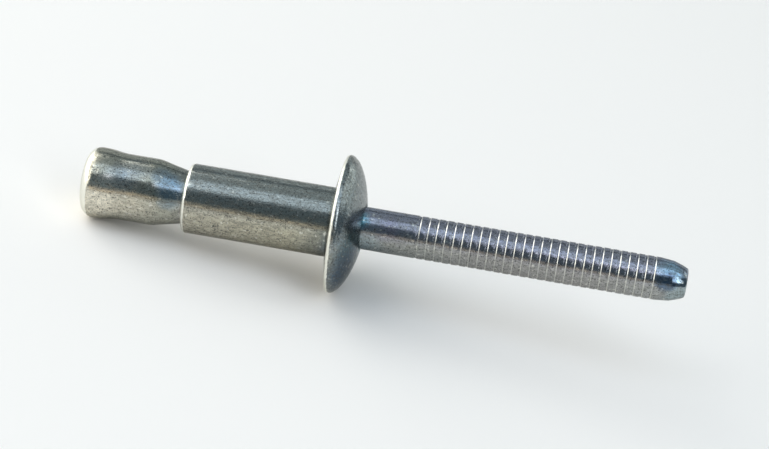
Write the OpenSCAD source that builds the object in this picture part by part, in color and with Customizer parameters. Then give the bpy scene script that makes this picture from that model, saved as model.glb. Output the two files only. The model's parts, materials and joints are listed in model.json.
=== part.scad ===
// Structural blind rivet, unset: a shell with a domed flange on a headed pull pin.
// It lies as it would come to rest, on the rim of the flange and the rim of the pin's head.
// Each piece is turned about its own axis first: s runs along the axis from the flange's
// bearing face, negative towards the blind end and positive towards the pulling end.
// The origin is the centre of the bearing face. Lengths are in millimetres.

/* [Shell] */
// Outside diameter of the shell, which goes through the hole in the work
body_d = 6.4; // [6.0:0.1:7.0]
// Length of the shell from the bearing face to its blind end
body_len = 13.9; // [11:0.1:22]
// Rounding of the shell's outer edge at the blind end
end_round = 0.35; // [0.1:0.05:0.6]
// Fillet between the shell and the bearing face
under_fillet = 0.25; // [0.1:0.05:0.5]

/* [Flange] */
// Outside diameter of the domed flange
flange_d = 12.7; // [12:0.1:15]
// Rounding of the flange's lower edge
lower_round = 0.3; // [0.1:0.05:0.35]
// Rounding of the flange's rim where it turns into the dome
rim_round = 0.65; // [0.3:0.01:0.7]
// Height that the dome would gain from the rim to its centre
dome_rise = 1.8; // [1.5:0.1:2.5]
// Depth of the dished seat round the pin
dish_depth = 0.3; // [0.1:0.05:0.5]
// Width of the dished seat round the pin
dish_w = 0.32; // [0.2:0.02:0.5]

/* [Pin] */
// Diameter of the pin's stem
pin_d = 3.9; // [3.6:0.05:4.2]
// Radial clearance between the pin and the shell
bore_gap = 0.04; // [0.02:0.01:0.08]
// Length of the stem from the bearing face to its free end
tail_len = 32; // [28:0.5:40]

/* [Pin head] */
// Length of the pin's head outside the shell
head_len = 9.5; // [8.5:0.1:12]
// Diameter of the flared end of the head
flare_d = 6.5; // [6.3:0.05:6.9]
// Rounding of the flared end's edge
head_round = 1.05; // [0.6:0.05:1.3]
// Length of the straight land on the flare
flare_land = 0.35; // [0.2:0.05:0.8]
// Length over which the flare sinks to the waist
flare_fall = 2.1; // [1.5:0.1:2.6]
// Diameter of the head's waist
waist_d = 6.1; // [5.8:0.05:6.2]
// Length of the cone outside the shell
cone_len = 2.9; // [2.4:0.1:3.6]
// Diameter of the cone at the shell's mouth
mouth_d = 4.8; // [4.5:0.05:5.2]

/* [Lock and break grooves] */
// Distance of the break groove from the bearing face, inside the shell
break_at = 4.2; // [3:0.1:6]
// Width of the break groove
break_w = 0.8; // [0.5:0.05:1]
// Diameter left at the bottom of the break groove
break_d = 2.5; // [2.2:0.05:2.9]
// Width of the shallow groove that takes the locking material
lock_w = 1.8; // [1:0.1:2.5]
// Diameter at the bottom of the locking groove
lock_d = 3.4; // [3.2:0.05:3.5]

/* [Pull grooves] */
// Distance from one pull groove to the next
groove_pitch = 0.79; // [0.7:0.01:0.8]
// Distance of the first pull groove from the bearing face
groove_start = 7.4; // [6:0.1:7.8]
// Width of a pull groove at the surface
groove_w = 0.3; // [0.2:0.02:0.44]
// Depth of a pull groove
groove_depth = 0.06; // [0.04:0.01:0.2]

/* [Free end] */
// Length of the tapered free end
tip_len = 2.6; // [1.5:0.1:2.8]
// Radius that the taper loses before the end's edge
tip_drop = 0.57; // [0.3:0.01:0.8]
// Rounding of the end's edge
tip_round = 0.28; // [0.1:0.02:0.4]

/* [Hidden] */
$fn = 96;
round_steps = 8;
curve_steps = 14;
groove_steps = 4;
// The rim's rounding turns through this angle before the dome takes over
rim_angle = 54;
// Below 1 the dome is fuller towards the rim than a parabola
dome_fullness = 0.74;

body_r = body_d / 2;
flange_r = flange_d / 2;
pin_r = pin_d / 2;
bore_r = pin_r + bore_gap;
flare_r = flare_d / 2;
waist_r = waist_d / 2;
mouth_r = mouth_d / 2;
dish_r = bore_r + dish_w;

// The cone keeps one slope from the waist, through the shell's mouth, to the stem
cone_slope = (waist_r - mouth_r) / cone_len;
seat_len = (mouth_r - pin_r) / cone_slope;
blind_s = -body_len;
seat_s = blind_s + seat_len;
head_s = blind_s - head_len;
cone_s = blind_s - cone_len;
land_s = head_s + head_round;
fall_s = land_s + flare_land;
taper_s = tail_len - tip_len;
// The edge's rounding takes over where the taper has reached this slope
end_angle = atan(2 * tip_drop / tip_len);
taper_end_s = tail_len - tip_round * (1 - sin(end_angle));

// As many pull grooves as fit before the taper
groove_n = floor((taper_s - groove_w - groove_start) / groove_pitch) + 1;

// Where the rim's rounding ends and the dome begins
dome_r0 = flange_r - rim_round + rim_round * cos(rim_angle);
dome_s0 = lower_round + rim_round * sin(rim_angle);
function dome_s(r) = dome_s0 + dome_rise * pow(1 - pow(r / dome_r0, 2), dome_fullness);

// Points [r, s] on an arc about [cr, cs], from angle a0 to a1
function arc(cr, cs, rad, a0, a1) =
    [for (i = [0:round_steps]) let (a = a0 + (a1 - a0) * i / round_steps)
        [cr + rad * cos(a), cs + rad * sin(a)]];

// The part rests on the line that touches the head's and the flange's lower roundings
rest_ds = lower_round - land_s;
rest_dr = (flange_r - lower_round) - (flare_r - head_round);
rest_l = norm([rest_ds, rest_dr]);
rest_tilt = atan2(rest_dr, rest_ds) - asin((head_round - lower_round) / rest_l);
// Degrees from the top to the seam of the turned surfaces, which stays clear of the line of rest
seam_turn = 192;

// One half of the shell's section, from the mouth round the outside to the bore
function shell_outline() = concat(
    [[mouth_r + bore_gap, blind_s]],
    arc(body_r - end_round, blind_s + end_round, end_round, -90, 0),
    arc(body_r + under_fillet, -under_fillet, under_fillet, 180, 90),
    arc(flange_r - lower_round, lower_round, lower_round, -90, 0),
    arc(flange_r - rim_round, lower_round, rim_round, 0, rim_angle),
    [for (i = [1:curve_steps]) let (r = dome_r0 + (dish_r - dome_r0) * i / curve_steps)
        [r, dome_s(r)]],
    [[bore_r, dome_s(dish_r) - dish_depth],
     [bore_r, seat_s]]);

// The pin's head, from its flat end to the point where the cone meets the stem
function head_outline() = concat(
    [[0, head_s]],
    arc(flare_r - head_round, land_s, head_round, -90, 0),
    [for (i = [0:curve_steps]) let (t = i / curve_steps)
        [waist_r + (flare_r - waist_r) * (1 + cos(180 * t)) / 2, fall_s + flare_fall * t]],
    [[waist_r, cone_s], [pin_r, seat_s]]);

// The locking groove, with sloping ends, and the break groove beside it
function lock_outline() = [
    [pin_r, -break_at - break_w / 2 - lock_w],
    [lock_d / 2, -break_at - break_w / 2 - lock_w + (pin_r - lock_d / 2)],
    [lock_d / 2, -break_at - break_w / 2],
    [break_d / 2, -break_at],
    [pin_r, -break_at + break_w / 2]];

// A pull groove with a rolled, rounded root
function groove_outline(s) =
    [for (i = [0:groove_steps]) let (t = i / groove_steps)
        [pin_r - groove_depth * sin(180 * t), s + groove_w * t]];

// The free end: a taper that steepens towards a rounded edge
function tip_outline() = concat(
    [for (i = [0:round_steps]) let (t = i / round_steps)
        [pin_r - tip_drop * t * t, taper_s + (taper_end_s - taper_s) * t]],
    arc(pin_r - tip_drop - tip_round * cos(end_angle), tail_len - tip_round, tip_round, end_angle, 90),
    [[0, tail_len]]);

function pin_outline() = concat(
    head_outline(),
    lock_outline(),
    [for (n = [0:groove_n - 1], p = groove_outline(groove_start + n * groove_pitch)) p],
    tip_outline());

// Puts a piece turned about its own axis into the resting place, with the pulling end raised
module lay() {
    rotate([0, 90 - rest_tilt, 0])
        rotate([0, 0, seam_turn])
            children();
}

module shell() {
    color([0.72, 0.71, 0.60])
        lay()
            rotate_extrude()
                polygon(shell_outline());
}

module pin() {
    color([0.66, 0.69, 0.75])
        lay()
            rotate_extrude()
                polygon(pin_outline());
}

shell();
pin();
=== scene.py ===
# %% [markdown]
# # A structural blind rivet
# The rivet is two turned pieces of zinc plated steel: a shell with a domed flange, and a pull pin
# that runs through it. It lies on a pale table, on the rim of its flange and the rim of its pin's
# head, with the pulling end in the air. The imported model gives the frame: where the rivet lies,
# which way its axis points and how big it is. Everything below is placed from that frame.

# %% Load the frame
import json
import math
import random

import bmesh
import bpy
import numpy as np
from mathutils import Matrix, Vector, noise


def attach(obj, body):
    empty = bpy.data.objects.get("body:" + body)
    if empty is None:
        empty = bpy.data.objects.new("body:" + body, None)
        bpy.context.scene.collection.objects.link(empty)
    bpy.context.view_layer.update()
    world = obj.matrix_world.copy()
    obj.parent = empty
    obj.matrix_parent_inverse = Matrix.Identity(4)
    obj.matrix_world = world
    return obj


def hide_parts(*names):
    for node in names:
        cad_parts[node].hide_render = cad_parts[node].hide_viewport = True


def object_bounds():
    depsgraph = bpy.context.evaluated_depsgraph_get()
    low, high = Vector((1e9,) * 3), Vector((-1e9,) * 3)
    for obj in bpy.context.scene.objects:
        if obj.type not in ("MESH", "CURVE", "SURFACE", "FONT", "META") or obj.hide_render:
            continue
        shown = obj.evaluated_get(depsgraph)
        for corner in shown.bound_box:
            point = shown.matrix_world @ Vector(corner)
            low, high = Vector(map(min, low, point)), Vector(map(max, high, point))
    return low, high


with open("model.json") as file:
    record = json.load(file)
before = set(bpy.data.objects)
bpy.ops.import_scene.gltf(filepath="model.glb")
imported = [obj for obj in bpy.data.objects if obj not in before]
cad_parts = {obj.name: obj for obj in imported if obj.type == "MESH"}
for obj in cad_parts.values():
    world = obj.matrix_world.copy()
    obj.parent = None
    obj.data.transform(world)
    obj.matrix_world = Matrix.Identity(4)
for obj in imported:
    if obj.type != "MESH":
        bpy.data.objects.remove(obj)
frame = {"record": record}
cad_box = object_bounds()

MM = 0.001
print("the solids' box:", cad_box)

# %% [markdown]
# ## The rivet's own axis
# Every surface here was turned about one axis, so it is easiest to draw half of a section and to
# spin it. A point is then named by `s`, how far along the axis it is from the flange's bearing
# face, and `r`, how far out. The record's shank mount gives the axis: it points out of the
# blind end, so it is turned round here to point to the pulling end.

# %% Axis and radii from the record
mounts = {m["name"]: m for m in frame["record"]["mounts"]}
shank = mounts["shank"]
axis = -Vector(shank["axis"]).normalized()
side = Vector((0, 1, 0))
down = side.cross(axis).normalized()
body_r = shank["dims"]["r_mm"]
pin_r = mounts["pull_stem"]["dims"]["r_mm"]


def place(s, r, angle):
    """A point in metres from millimetres along and out, and an angle round from the table side."""
    return (axis * s + down * (r * math.cos(angle)) + side * (r * math.sin(angle))) * MM


print("the axis rises by", round(math.degrees(math.asin(axis.z)), 2), "degrees")

# %% [markdown]
# ## Drawing a section
# A lathe and a header leave no perfectly sharp edge, and it is the tiny rounding of each edge that
# catches the light. So a section is written with sharp corners, and each corner may ask for a
# rounding, which a short curve then takes. Long straight stretches are cut into short steps, so
# that dents can be pressed into them later.

# %% Corner rounding and even steps
SHORTEST = 0.004        # mm: points closer than this are dropped
REACH_SHARE = 0.48      # the share of a straight run that one corner's rounding may take


def eased(corners, turns=4, step=0.30):
    """Rows (s, r) along corners (s, r, rounding), with each corner eased and long runs cut up."""
    rows = []
    count = len(corners)
    for i, (s, r, ease) in enumerate(corners):
        here = Vector((s, r))
        if ease <= 0 or i in (0, count - 1):
            rows.append(here)
            continue
        back = Vector(corners[i - 1][:2]) - here
        ahead = Vector(corners[i + 1][:2]) - here
        reach = min(ease, back.length * REACH_SHARE, ahead.length * REACH_SHARE)
        start = here + back.normalized() * reach
        end = here + ahead.normalized() * reach
        for k in range(turns + 1):
            t = k / turns
            rows.append(start * (1 - t) ** 2 + here * 2 * t * (1 - t) + end * t * t)
    out = [rows[0]]
    for p in rows[1:]:
        gap = (p - out[-1]).length
        if gap < SHORTEST:
            continue
        cuts = max(1, math.ceil(gap / step))
        base = out[-1].copy()
        out += [base.lerp(p, (k + 1) / cuts) for k in range(cuts)]
    return out


def arc(s, r, radius, start, end, steps=8):
    """Corners on an arc about (s, r). Angle 0 points outwards and 90 towards the pulling end."""
    angles = [math.radians(start + (end - start) * k / steps) for k in range(steps + 1)]
    return [(s + radius * math.sin(a), r + radius * math.cos(a), 0) for a in angles]


# %% [markdown]
# ## Spinning a section
# Blender's Screw modifier could spin a curve, but then nothing could differ round the piece. Here
# the rings are made point by point, so a small function can push each point in or out: that is how
# the piece gets its dents and its slightly uneven rolled edges. The wide shell gets 256 points to
# a ring. The slim pin gets 152, because its 28 grooves need several hundred rings and a piece may
# have 200,000 triangles at most.

# %% Spin rows into a mesh
MERGE_DIST = 1e-7       # metres: points on the axis closer than this become one
shell_around, pin_around = 256, 152


def turned(name, rows, press, around):
    """A mesh piece made by spinning rows (s, r); press(s, r, angle) moves a point outwards."""
    verts = []
    for row in rows:
        for k in range(around):
            angle = 2 * math.pi * k / around
            r = max(row.y + press(row.x, row.y, angle), 0.0)
            verts.append(place(row.x, r, angle))
    faces = []
    for i in range(len(rows) - 1):
        for k in range(around):
            n = (k + 1) % around
            here, there = i * around, (i + 1) * around
            faces.append((here + k, there + k, there + n, here + n))
    return finish_mesh(name, verts, faces)


def finish_mesh(name, verts, faces):
    """The mesh object, with doubled points on the axis merged and normals facing out."""
    mesh = bpy.data.meshes.new(name)
    mesh.from_pydata(verts, [], faces)
    work = bmesh.new()
    work.from_mesh(mesh)
    bmesh.ops.remove_doubles(work, verts=work.verts, dist=MERGE_DIST)
    bmesh.ops.recalc_face_normals(work, faces=work.faces)
    for face in work.faces:
        face.smooth = True
    work.to_mesh(mesh)
    work.free()
    piece = bpy.data.objects.new(name, mesh)
    bpy.context.scene.collection.objects.link(piece)
    print(name, "has", len(mesh.polygons), "faces")
    return piece


# %% [markdown]
# ## Dents and unevenness
# A rivet is tumbled, plated in a barrel and poured into a box with thousands of others. Each one
# arrives with small knocks, most of them on the edges. A knock here is a soft round hollow with a
# centre along and round the piece, a size and a depth. Low noise adds the slight waviness of
# headed metal, far below what a caliper would find but enough to bend a highlight.


# %% Knocks and waviness
def knocks(count, s_from, s_to, size, depth, seed):
    """Random soft hollows between two places along the axis."""
    rng = random.Random(seed)
    return [(rng.uniform(s_from, s_to), rng.uniform(0, 2 * math.pi),
             rng.uniform(0.5, 1) * size, rng.uniform(0.3, 1) * depth) for _ in range(count)]


def pressed(hollows, wave, wave_size, seed):
    """A press function for turned(): the hollows and a low waviness of the given height in mm."""
    shift = Vector((seed * 3.1, seed * 1.7, seed * 2.3))

    def press(s, r, angle):
        y, z = r * math.cos(angle), r * math.sin(angle)
        off = wave * noise.noise(Vector((s, y, z)) / wave_size + shift)
        for s0, a0, size, depth in hollows:
            if abs(s - s0) > size:
                continue
            round_off = math.remainder(angle - a0, 2 * math.pi) * r
            d2 = ((s - s0) ** 2 + round_off ** 2) / size ** 2
            if d2 < 1:
                off -= depth * (1 - d2) ** 2
        return off

    return press


# %% [markdown]
# ## The shell
# A real shell is cold headed: a slug is punched into a tube with a flange on one end. Its blind
# end keeps a small rounding and a coned mouth, which the pin's head will later be drawn into. The
# flange is flat below, where it bears on the sheet, and low and full above. The sizes are those
# of the solid, so the piece seats where the solid does. The head's sizes come here too, because
# the cone of the head sets how deep the seat in the shell runs.

# %% Sizes of the shell and of the head that seats in it
body_len = 13.9
end_round = 0.35
under_fillet = 0.25
flange_r = 6.35
lower_round = 0.3
rim_round = 0.65
rim_angle = 54
dome_rise = 1.8
dome_fullness = 0.74
dish_depth = 0.3
dish_w = 0.32
bore_gap = 0.04
bore_r = pin_r + bore_gap
dish_r = bore_r + dish_w
head_len = 9.5
flare_r = 3.25
head_round = 1.15
flare_land = 0.35
flare_fall = 2.1
waist_r = 3.05
cone_len = 2.9
mouth_r = 2.4
seat_s = -body_len + (mouth_r - pin_r) * cone_len / (waist_r - mouth_r)
dome_r0 = flange_r - rim_round + rim_round * math.cos(math.radians(rim_angle))
dome_s0 = lower_round + rim_round * math.sin(math.radians(rim_angle))


def dome_s(r):
    """How high the dome stands at radius r."""
    return dome_s0 + dome_rise * (1 - (r / dome_r0) ** 2) ** dome_fullness


# %% The shell's section and mesh
dome_steps = 30
dish_edge = 0.05        # mm left between the dome and the edge of the dished seat
dome = [(dome_s(r), r, 0) for r in np.linspace(dome_r0, dish_r + dish_edge, dome_steps)[1:]]
shell_corners = (
    [(seat_s, bore_r, 0), (-body_len, mouth_r + bore_gap, 0.05)]
    + arc(-body_len + end_round, body_r - end_round, end_round, -90, 0)
    + arc(-under_fillet, body_r + under_fillet, under_fillet, 180, 270, 5)
    + arc(lower_round, flange_r - lower_round, lower_round, -90, 0)
    + arc(lower_round, flange_r - rim_round, rim_round, 0, rim_angle)
    + dome
    + [(dome_s(dish_r), dish_r, 0.06), (dome_s(dish_r) - dish_depth, bore_r, 0.03)]
    + [(seat_s, bore_r, 0)]
)
# Each line: how many, from, to, size, depth (all mm) and the seed
shell_hollows = (
    knocks(26, -body_len, -0.6, 0.55, 0.018, 11)
    + knocks(10, -body_len - 0.1, -body_len + 0.35, 0.35, 0.05, 12)
    + knocks(16, 0.0, 0.7, 0.6, 0.05, 13)
    + knocks(12, 0.7, 2.1, 0.6, 0.015, 14)
)
shell_press = pressed(shell_hollows, 0.012, 2.4, 1)
shell = turned("shell_plated", eased(shell_corners), shell_press, shell_around)

# %% [markdown]
# ## The pin
# The pin is headed too, and its grooves are rolled: a pair of grooved dies squeezes rings into
# the stem, which leaves each land a little proud and rounded at its edges. The head's end is
# flared and rounded, then it necks to a waist and a cone that wedges into the shell. The lock and
# break grooves sit inside the shell, where nothing shows, but they are drawn because the pin is
# one piece.

# %% Sizes of the pin
tail_len = 32.0
break_at, break_w, break_r = 4.2, 0.8, 1.25
lock_w, lock_r = 1.8, 1.7
groove_pitch, groove_start, groove_w, groove_depth = 0.79, 7.4, 0.30, 0.05
tip_len, tip_drop, tip_round = 2.6, 0.57, 0.28
tip_bend, tip_bend_drop = 1.25, 0.128   # where the taper starts to steepen
curve_steps = 12
head_s = -body_len - head_len
taper_s = tail_len - tip_len
end_slope = math.atan(2 * tip_drop / tip_len)
taper_end_s = tail_len - tip_round * (1 - math.sin(end_slope))
groove_n = math.floor((taper_s - groove_w - groove_start) / groove_pitch) + 1
print("pull grooves:", groove_n)


# %% The pin's section and mesh
def groove(s):
    """Corners of one rolled ring groove that starts at s."""
    return [(s, pin_r, 0.02), (s + 0.2 * groove_w, pin_r - groove_depth, 0.02),
            (s + 0.75 * groove_w, pin_r - groove_depth, 0.02), (s + groove_w, pin_r, 0.02)]


def neck(t):
    """Corner where the flare sinks to the waist, t from 0 to 1."""
    return (fall_s + flare_fall * t,
            waist_r + (flare_r - waist_r) * (1 + math.cos(math.pi * t)) / 2, 0)


def taper(t):
    """Corner on the taper of the free end, t from 0 to 1."""
    return taper_s + (taper_end_s - taper_s) * t, pin_r - tip_drop * t ** 2, 0


land_s = head_s + head_round
fall_s = land_s + flare_land
break_s = -break_at - break_w / 2
pin_corners = (
    [(head_s, 0, 0), (head_s, 0.9, 0), (head_s, flare_r - head_round, 0)]
    + arc(land_s, flare_r - head_round, head_round, -90, 0, 14)
    + [neck(k / curve_steps) for k in range(curve_steps + 1)]
    + [(-body_len - cone_len, waist_r, 0.25), (seat_s, pin_r, 0.1)]
    + [(break_s - lock_w, pin_r, 0), (break_s - lock_w + pin_r - lock_r, lock_r, 0.05)]
    + [(break_s, lock_r, 0.05), (-break_at, break_r, 0.04), (-break_at + break_w / 2, pin_r, 0)]
    + [c for n in range(groove_n) for c in groove(groove_start + n * groove_pitch)]
    + [(taper_s, pin_r, 0.1), (taper_s + tip_bend, pin_r - tip_bend_drop, 0.03)]
    + [taper(k / curve_steps) for k in range(7, curve_steps + 1)]
    + arc(tail_len - tip_round, pin_r - tip_drop - tip_round * math.cos(end_slope), tip_round,
          math.degrees(end_slope), 90, 6)
    + [(tail_len, 0, 0)]
)
pin_hollows = (
    knocks(14, head_s, head_s + 1.5, 0.6, 0.05, 21)
    + knocks(14, head_s + 1.5, -body_len, 0.7, 0.03, 22)
    + knocks(16, 3, 31, 0.3, 0.02, 23)
)
pin_press = pressed(pin_hollows, 0.010, 2.0, 2)
pin = turned("pin_plated", eased(pin_corners, turns=3, step=0.35), pin_press, pin_around)

# %% [markdown]
# ## Zinc plate
# Bright zinc is a thin soft metal coat with a clear passivation film over it. The film is so thin
# that it tints the reflection: straw and olive where it is thicker, blue or violet where it is
# thinner. So the base is a metal with a colour that drifts slowly between those tints, and a
# roughness that changes with handling marks. Fine bumps stand in for the grain of the plating and
# for hairline scratches, which are too small to be worth geometry.


# %% A helper for node links
class Recipe:
    """A short way to add nodes to one material and to join them."""

    def __init__(self, name):
        self.material = bpy.data.materials.new(name)
        self.material.use_nodes = True
        self.tree = self.material.node_tree
        self.shader = self.tree.nodes["Principled BSDF"]
        self.place = self.tree.nodes.new("ShaderNodeTexCoord").outputs["Object"]

    def add(self, kind, links=(), **settings):
        """A new node. Each of links is a socket with a value or with another node's output."""
        node = self.tree.nodes.new(kind)
        for key, value in settings.items():
            setattr(node, key, value)
        for key, value in links:
            if hasattr(value, "is_output"):
                self.tree.links.new(value, node.inputs[key])
            else:
                node.inputs[key].default_value = value
        return node

    def noise(self, scale, detail, rough, where):
        return self.add("ShaderNodeTexNoise", [
            ("Vector", where), ("Scale", scale), ("Detail", detail),
            ("Roughness", rough)]).outputs["Fac"]

    def stretched(self, where, share):
        """The same coordinates with everything drawn out along the axis."""
        return self.add("ShaderNodeMapping", [
            ("Vector", where), ("Scale", (share, 1, 1))]).outputs["Vector"]

    def vector(self, what, a, b):
        return self.add("ShaderNodeVectorMath", [(0, a), (1, b)], operation=what).outputs["Value"]

    def ramp(self, value, stops):
        """A colour that runs through stops (position, colour)."""
        node = self.add("ShaderNodeValToRGB", [("Fac", value)])
        while len(node.color_ramp.elements) < len(stops):
            node.color_ramp.elements.new(0.5)
        for element, (at, colour) in zip(node.color_ramp.elements, stops):
            element.position = at
            element.color = (*colour, 1)
        return node.outputs["Color"]

    def blend(self, fac, a, b):
        """Colour a where fac is 0 and colour b where it is 1."""
        node = self.add("ShaderNodeMix", data_type="RGBA", blend_type="MIX")
        for socket, value in ((node.inputs[0], fac), (node.inputs[6], a), (node.inputs[7], b)):
            if hasattr(value, "is_output"):
                self.tree.links.new(value, socket)
            elif socket.type == "RGBA":
                socket.default_value = (*value, 1)
            else:
                socket.default_value = value
        return node.outputs[2]

    def bump(self, height, depth, under=None):
        """Fine relief, depth in metres, on top of the relief under."""
        node = self.add("ShaderNodeBump", [
            ("Strength", 1.0), ("Distance", depth), ("Height", height)])
        if under is not None:
            self.tree.links.new(under, node.inputs["Normal"])
        return node.outputs["Normal"]

    def maths(self, what, a, b=0.0):
        return self.add("ShaderNodeMath", [(0, a), (1, b)], operation=what).outputs[0]

    def span(self, value, low, high, to_low, to_high):
        """A value between low and high brought to the range from to_low to to_high."""
        return self.add("ShaderNodeMapRange", [
            ("Value", value), ("From Min", low), ("From Max", high),
            ("To Min", to_low), ("To Max", to_high)]).outputs["Result"]

    def within(self, value, low, high, soft):
        """1 where value lies between low and high and 0 elsewhere, with soft edges."""
        return self.maths("MULTIPLY", self.span(value, low - soft, low + soft, 0, 1),
                          self.span(value, high - soft, high + soft, 1, 0))

    def join(self, value, socket):
        self.tree.links.new(value, self.shader.inputs[socket])


# %% [markdown]
# ## One finish for both pieces
# Both pieces show the same kind of coat, so one recipe serves both, and each piece gives it its own
# tints. From the bottom up it has the tint along the axis, a cooler tint on the side that faces up,
# which is a painted reflection of the light above, and a few soft patches: some where the film is
# thinner or thicker, others painted shade, painted highlights and painted reflections. Dull mottle,
# dark specks and worn spots lie on top. Last come pale bands: on the blind end, the flange's rim
# and the head's flat end they are partly rubbed wear and partly a painted highlight, and on one
# wall of each pull groove they are a painted highlight.

# %% Zinc plating
DULL = (0.14, 0.14, 0.12)
SPECK = (0.06, 0.06, 0.06)
WORN = (0.85, 0.84, 0.76)
# Pale colour of the edge bands: rubbed wear, and a painted highlight on the edges and groove walls
# that face the lamps.
RUBBED_AND_HIGHLIGHT = (0.88, 0.87, 0.78)
PATCH_DRIFT = 0.0008    # metres by which a patch's edge wanders
TINT_DRIFT = 1.2        # mm by which the tint along the axis wanders
EDGE_DRIFT = 0.05       # mm by which a rubbed edge wanders
EDGE_SOFT = 0.03        # mm
RING_SOFT = 0.02        # mm
RING_END = 0.01         # mm


def zinc(name, tints, upper, bright, depths, patches=(), mottled=0.6, rings=None):
    """Plated metal. Places and sizes are in mm, depths of the relief in metres.

    tints: (place along the axis, colour, roughness).
    upper: (colour, height at which it is full, how much of it, place where it starts), a painted
    reflection on the side that faces up.
    bright: (from, to) along the axis, made pale: partly rubbed wear, partly a painted highlight.
    depths: of the waves, the streaks and the grain.
    patches: (centre, size, colour); some are film tints, some painted shade, highlights and
    reflections.
    rings: (from, to, pitch, start and end of the pale band within one pitch), a painted highlight
    on one wall of each groove.
    """
    m = Recipe(name)
    turn = m.add("ShaderNodeMapping", [
        ("Vector", m.place), ("Rotation", (0, math.asin(axis.z), 0))]).outputs["Vector"]
    x = m.add("ShaderNodeSeparateXYZ", [("Vector", turn)]).outputs["X"]
    along = m.maths("MULTIPLY", x, 1000.0)
    drift = m.noise(260, 3, 0.55, turn)
    reach = m.maths("ADD", along, m.span(drift, 0.3, 0.7, -TINT_DRIFT, TINT_DRIFT))
    first, last = tints[0][0], tints[-1][0]
    fac = m.span(reach, first, last, 0, 1)
    at = [(s - first) / (last - first) for s, _, _ in tints]
    colour = m.ramp(fac, [(p, tint) for p, (_, tint, _) in zip(at, tints)])
    base_rough = m.ramp(fac, [(p, (rough,) * 3) for p, (_, _, rough) in zip(at, tints)])

    # The cooler tint on the upper side is a painted reflection of the light above.
    upper_tint, full_height, amount, upper_start = upper
    height = m.vector("DOT_PRODUCT", m.place, tuple(-down))
    painted_upper_sheen = m.maths("MULTIPLY", m.span(height, 0.0, full_height * MM, 0.0, amount),
                  m.span(along, upper_start - 1, upper_start + 1, 0, 1))
    colour = m.blend(painted_upper_sheen, colour, upper_tint)
    # Some patches are film tints, others painted shade, painted highlights and painted reflections;
    # the lists of each piece say which.
    for centre, size, tint in patches:
        near = m.maths("ADD", m.vector("DISTANCE", m.place, centre),
                       m.span(drift, 0.3, 0.7, -PATCH_DRIFT, PATCH_DRIFT))
        colour = m.blend(m.span(near, 0.35 * size * MM, size * MM, 0.9, 0.0), colour, tint)

    longer, streaky = m.stretched(turn, 0.4), m.stretched(turn, 0.08)
    mottle = m.noise(4200, 4, 0.75, longer)
    speck = m.noise(7500, 2, 0.6, turn)
    worn = m.noise(2600, 3, 0.6, turn)
    colour = m.blend(m.span(mottle, 0.42, 0.62, 0.0, mottled), colour, DULL)
    colour = m.blend(m.span(speck, 0.55, 0.65, 0.0, 0.85), colour, SPECK)
    colour = m.blend(m.span(worn, 0.60, 0.72, 0.0, 0.6), colour, WORN)
    rough = m.maths("ADD", base_rough, m.span(mottle, 0.35, 0.65, -0.07, 0.12))

    # The pale bands on the edges are partly rubbed wear and partly a painted highlight.
    wander = m.maths("ADD", along, m.span(worn, 0.3, 0.7, -EDGE_DRIFT, EDGE_DRIFT))
    pale = 0.0
    for start, end in bright:
        pale = m.maths("MAXIMUM", m.within(wander, start, end, EDGE_SOFT), pale)
    # The pale band on one wall of each pull groove is a painted highlight.
    if rings:
        begin, end, pitch, low, high = rings
        turns = m.maths("DIVIDE", m.maths("SUBTRACT", along, begin), pitch)
        beat = m.maths("MULTIPLY", m.maths("FRACT", turns), pitch)
        ring = m.within(beat, low, high, RING_SOFT)
        ring = m.maths("MULTIPLY", ring, m.span(along, begin - RING_END, begin, 0, 1))
        ring = m.maths("MULTIPLY", ring, m.span(along, end, end + RING_END, 1, 0))
        ring_highlight_strength = m.span(worn, 0.35, 0.65, 0.3, 0.65)
        pale = m.maths("MAXIMUM", m.maths("MULTIPLY", ring, ring_highlight_strength), pale)
    m.join(m.blend(pale, colour, RUBBED_AND_HIGHLIGHT), "Base Color")
    m.join(m.maths("ADD", rough, m.maths("MULTIPLY", pale, 0.16)), "Roughness")
    m.shader.inputs["Metallic"].default_value = 1.0
    m.shader.inputs["Specular Tint"].default_value = (0.68, 0.68, 0.68, 1)

    wave_depth, streak_depth, grain_depth = depths
    waves = m.bump(m.noise(900, 2, 0.5, longer), wave_depth)
    streaks = m.bump(m.noise(5200, 3, 0.6, streaky), streak_depth, waves)
    m.join(m.bump(m.noise(4600, 4, 0.7, turn), grain_depth, streaks), "Normal")
    return m.material


def facing(s, r, lift):
    """A point on the skin that faces forwards, lift degrees above level."""
    way = -side * math.cos(math.radians(lift)) - down * math.sin(math.radians(lift))
    return tuple((axis * s + way * r) * MM)
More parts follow.
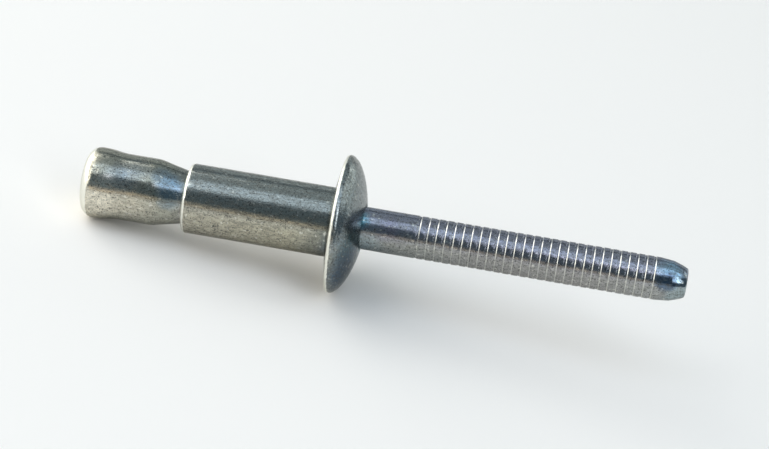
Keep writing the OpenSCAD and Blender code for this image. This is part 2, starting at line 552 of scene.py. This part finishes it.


# %% [markdown]
# ## The tints of each piece
# In the photograph the shell is straw and olive and its dome is blue grey. The head is the palest
# part, its waist is blue, the stem is violet grey on top and the free end is deep blue. Some of
# these tints are painted light and shade rather than the plating's own colour: the dome's dark blue
# grey, the cooler tint on top of both pieces, a pale streak on the head, a cyan glint by the dome,
# the light and dark spots on the free end and a dark patch beside the flange. The lists below name
# those places in mm from the bearing face. They were set by comparing renders with the photograph,
# so they suit its side of the rivet best.

# %% Finish of the shell and of the pin
shell_zinc = zinc(
    "shell_finish",
    # Past the bearing face the tint turns dark blue grey: painted shade for the dark that the dome
    # mirrors.
    tints=[(-14, (0.49, 0.465, 0.375), 0.17), (-9, (0.475, 0.45, 0.355), 0.17),
           (-4, (0.49, 0.465, 0.355), 0.16), (-0.5, (0.46, 0.45, 0.36), 0.18),
           (1.2, (0.30, 0.33, 0.33), 0.20), (3, (0.26, 0.32, 0.35), 0.20)],
    # The cooler tint on the upper side is a painted reflection of the light above.
    upper=((0.37, 0.41, 0.42), 2.4, 0.7, -16),
    # The pale bands at the blind end and the flange's rim are partly rubbed wear and partly a
    # painted highlight.
    bright=[(-13.95, -13.6), (-0.02, 0.30)],
    depths=(0.000006, 0.000008, 0.000008),
    # Patches: painted shade on the shell beside the flange, and two dark blue patches on the dome
    # that are painted shade and painted reflection.
    patches=[(facing(-1.0, 3.2, -22), 2.6, (0.26, 0.27, 0.23)),
             (facing(1.7, 4.2, 12), 2.9, (0.07, 0.14, 0.17)),
             (facing(1.5, 4.5, -26), 3.3, (0.07, 0.12, 0.18))],
    mottled=0.6)
pin_zinc = zinc(
    "pin_finish",
    tints=[(-23, (0.55, 0.525, 0.43), 0.18), (-18.5, (0.46, 0.45, 0.38), 0.17),
           (-15.6, (0.43, 0.43, 0.36), 0.17), (-14.2, (0.37, 0.37, 0.33), 0.18),
           (3, (0.27, 0.33, 0.35), 0.2), (6, (0.33, 0.34, 0.32), 0.18),
           (14, (0.34, 0.335, 0.325), 0.17), (24, (0.35, 0.345, 0.335), 0.16),
           (29.2, (0.38, 0.39, 0.38), 0.13), (30.2, (0.33, 0.39, 0.40), 0.09),
           (32, (0.34, 0.41, 0.42), 0.07)],
    # The violet grey tint on the upper side is a painted reflection of the cool light above.
    upper=((0.38, 0.385, 0.49), 1.7, 0.75, 1),
    # The pale band on the head's flat end is partly rubbed wear and partly a painted highlight.
    bright=[(-23.5, -22.66)],
    depths=(0.000006, 0.000006, 0.000007),
    # Patches: two blue film tints on the cone, a cooler tint on the neck, two painted highlights in
    # a pale streak on the head, a violet film tint on the stem, a painted cyan glint by the dome,
    # and on the free end a painted highlight and a painted dark reflection.
    patches=[(facing(-15.2, 2.7, 42), 2.0, (0.26, 0.37, 0.46)),
             (facing(-15.4, 2.7, 26), 1.3, (0.22, 0.30, 0.34)),
             (facing(-19.6, 3.1, 40), 2.4, (0.35, 0.40, 0.43)),
             (facing(-21.2, 3.2, 10), 2.8, (0.84, 0.79, 0.66)),
             (facing(-18.4, 3.1, 10), 2.4, (0.62, 0.58, 0.47)),
             (facing(5.0, 1.95, 32), 1.8, (0.30, 0.28, 0.38)),
             (facing(2.4, 1.95, 40), 1.3, (0.12, 0.42, 0.52)),
             (facing(30.6, 1.7, 56), 1.5, (0.42, 0.62, 0.78)),
             (facing(30.2, 1.9, 27), 0.9, (0.10, 0.15, 0.23))],
    mottled=0.45,
    # The pale band on one wall of each pull groove is a painted highlight.
    rings=(groove_start, groove_start + groove_n * groove_pitch, groove_pitch,
           0.75 * groove_w, groove_w))
for piece, finish, node in ((shell, shell_zinc, "shell"), (pin, pin_zinc, "pin")):
    piece.data.materials.append(finish)
    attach(piece, "root")
    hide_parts(node)

# %% [markdown]
# ## Table, light and backdrop
# Polished metal shows its room more than itself. The rivet was shot in a pale room: bright light
# from the blind end's side, a cool dim light behind, a warm one in front, and a darker ceiling,
# which draws the dark band along the middle of each cylinder. Eleven soft lamps do the same here,
# at the left, overhead, behind, in front and at the right, with a dim world round them. Each one
# is placed by the direction that the cylinders mirror towards the camera.

# %% Table
table_w = 4.0           # metres
bpy.ops.mesh.primitive_plane_add(size=table_w, location=(0, 0, cad_box[0][2]))
table = bpy.context.object
table.name = "table"
white = Recipe("table_white")
white.shader.inputs["Base Color"].default_value = (0.96, 0.92, 0.89, 1)
white.shader.inputs["Roughness"].default_value = 1.0
white.shader.inputs["Specular IOR Level"].default_value = 0.0
table.data.materials.append(white.material)


# %% Lamps
def softbox(name, azimuth, elevation, distance, size, glow, colour):
    """A soft lamp that faces the rivet. Azimuth 0 is the pulling end's side and 90 is behind."""
    turn, lift = math.radians(azimuth), math.radians(elevation)
    data = bpy.data.lights.new(name, "AREA")
    data.shape = "RECTANGLE"
    data.size, data.size_y = size
    data.energy = glow * math.pi * size[0] * size[1]
    data.color = colour
    level = math.cos(lift)
    stand = Vector((math.cos(turn) * level, math.sin(turn) * level, math.sin(lift)))
    box = bpy.data.objects.new(name, data)
    box.location = stand * distance
    box.rotation_euler = stand.to_track_quat("Z", "Y").to_euler()
    bpy.context.scene.collection.objects.link(box)
    print(name, "stands at", [round(c, 2) for c in box.location])


# name, azimuth, elevation, distance in metres, (width, height), glow, colour
lamps = [
    ("window", 184, 22, 0.50, (0.84, 0.36), 2.1, (1.0, 0.98, 0.91)),
    ("upper_left", 182, 51, 0.50, (0.50, 0.24), 1.4, (1.0, 0.99, 0.95)),
    ("back_left", 138, 30, 0.50, (0.26, 0.42), 1.4, (1.0, 0.99, 0.94)),
    ("overhead", 270, 76, 0.45, (0.70, 0.27), 0.95, (0.76, 0.88, 1.0)),
    ("over_stem", 281, 57, 0.45, (0.16, 0.11), 1.4, (0.84, 0.87, 1.0)),
    ("behind", 90, 64, 0.45, (0.70, 0.38), 0.27, (0.90, 0.99, 1.0)),
    ("far_wall", 90, 16, 0.45, (0.90, 0.24), 0.42, (0.95, 1.0, 0.98)),
    ("warm_front", 270, 6, 0.45, (0.60, 0.09), 0.50, (1.0, 0.82, 0.60)),
    ("pulling_end", 311, 37, 0.45, (0.15, 0.24), 3.0, (0.92, 0.97, 1.0)),
    ("fill", 16, 36, 0.50, (0.36, 0.26), 0.7, (0.95, 1.0, 0.97)),
    ("right_wall", 40, 13, 0.50, (0.40, 0.22), 0.65, (0.95, 1.0, 0.96)),
]
for lamp in lamps:
    softbox(*lamp)

world = bpy.data.worlds.new("pale_room")
world.use_nodes = True
bpy.context.scene.world = world
background = world.node_tree.nodes["Background"]
background.inputs["Color"].default_value = (0.116, 0.156, 0.186, 1)
background.inputs["Strength"].default_value = 1.0

# %% [markdown]
# ## Camera
# The picture looks down on the lying rivet. In it the axis falls to the right by almost ten
# degrees, and the pulling end is a few degrees nearer the lens. Those two angles and one free
# choice, how steeply the camera looks down, fix the camera's direction; its distance comes from
# how fast the stem grows towards the right, and its place from where the bearing face sits in the
# frame.

# %% Camera
frame_w, frame_h = 769, 449        # pixels
face_x, face_y = 336.7, 223.2      # where the bearing face's centre sits in the frame
scale_px = 11.01 / MM              # pixels to the metre there
distance = 0.2117                  # metres
sensor_w = 36.0                    # mm
fall = math.radians(9.75)
lean = math.radians(4.5)
steep = math.radians(30)


def view_axes():
    """Right, up and back directions of the camera."""
    across = axis.cross(Vector((0, 0, 1))).normalized()
    up_axis = across.cross(axis)
    facing_axis = up_axis * math.sin(steep) + across * math.cos(steep)
    back = axis * math.sin(lean) + facing_axis * math.cos(lean)
    level = (axis - back * axis.dot(back)).normalized()
    rise = back.cross(level)
    right = level * math.cos(fall) + rise * math.sin(fall)
    return right, back.cross(right), back


right, up, back = view_axes()
off_x, off_y = (face_x - frame_w / 2) / scale_px, (face_y - frame_h / 2) / scale_px
focus = -right * off_x + up * off_y
camera_data = bpy.data.cameras.new("camera")
camera_data.sensor_width = sensor_w
camera_data.lens = sensor_w * scale_px * distance / frame_w
camera_data.clip_start = 0.01
camera = bpy.data.objects.new("camera", camera_data)
camera.matrix_world = Matrix((
    (right.x, up.x, back.x, focus.x + back.x * distance),
    (right.y, up.y, back.y, focus.y + back.y * distance),
    (right.z, up.z, back.z, focus.z + back.z * distance),
    (0, 0, 0, 1)))
bpy.context.scene.collection.objects.link(camera)
bpy.context.scene.camera = camera
bpy.context.scene.view_settings.view_transform = "Standard"
print("lens", round(camera_data.lens, 1), "mm, camera at", [round(c, 3) for c in camera.location])
